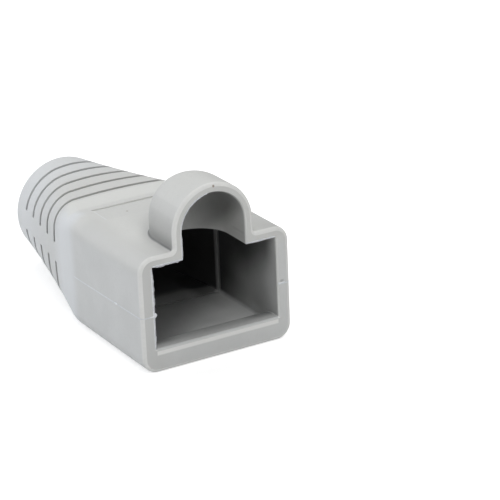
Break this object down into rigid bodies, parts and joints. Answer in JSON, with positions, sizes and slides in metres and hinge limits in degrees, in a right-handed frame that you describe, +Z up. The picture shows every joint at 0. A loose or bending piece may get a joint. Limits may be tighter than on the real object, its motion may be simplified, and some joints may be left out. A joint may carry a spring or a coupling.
{
  "type": "rj45 strain relief boot",
  "caption": "Soft one-piece boot with an open rectangular mouth for a modular plug, a domed latch hood on top and a grooved tapering tail with a round cable bore.",
  "frame": {"origin": "on the flat underside, at the middle of the boot's width and length", "axes": "+Y from the plug's mouth to the cable end, +Z up from the underside to the latch hood, +X to the right seen from the mouth"},
  "size_m": [0.0142, 0.0294, 0.0154],
  "materials": {
    "soft_vinyl": "soft matte light grey"
  },
  "bodies": {
    "root": {"strain_relief_boot": "soft_vinyl"}
  },
  "joints": []
}
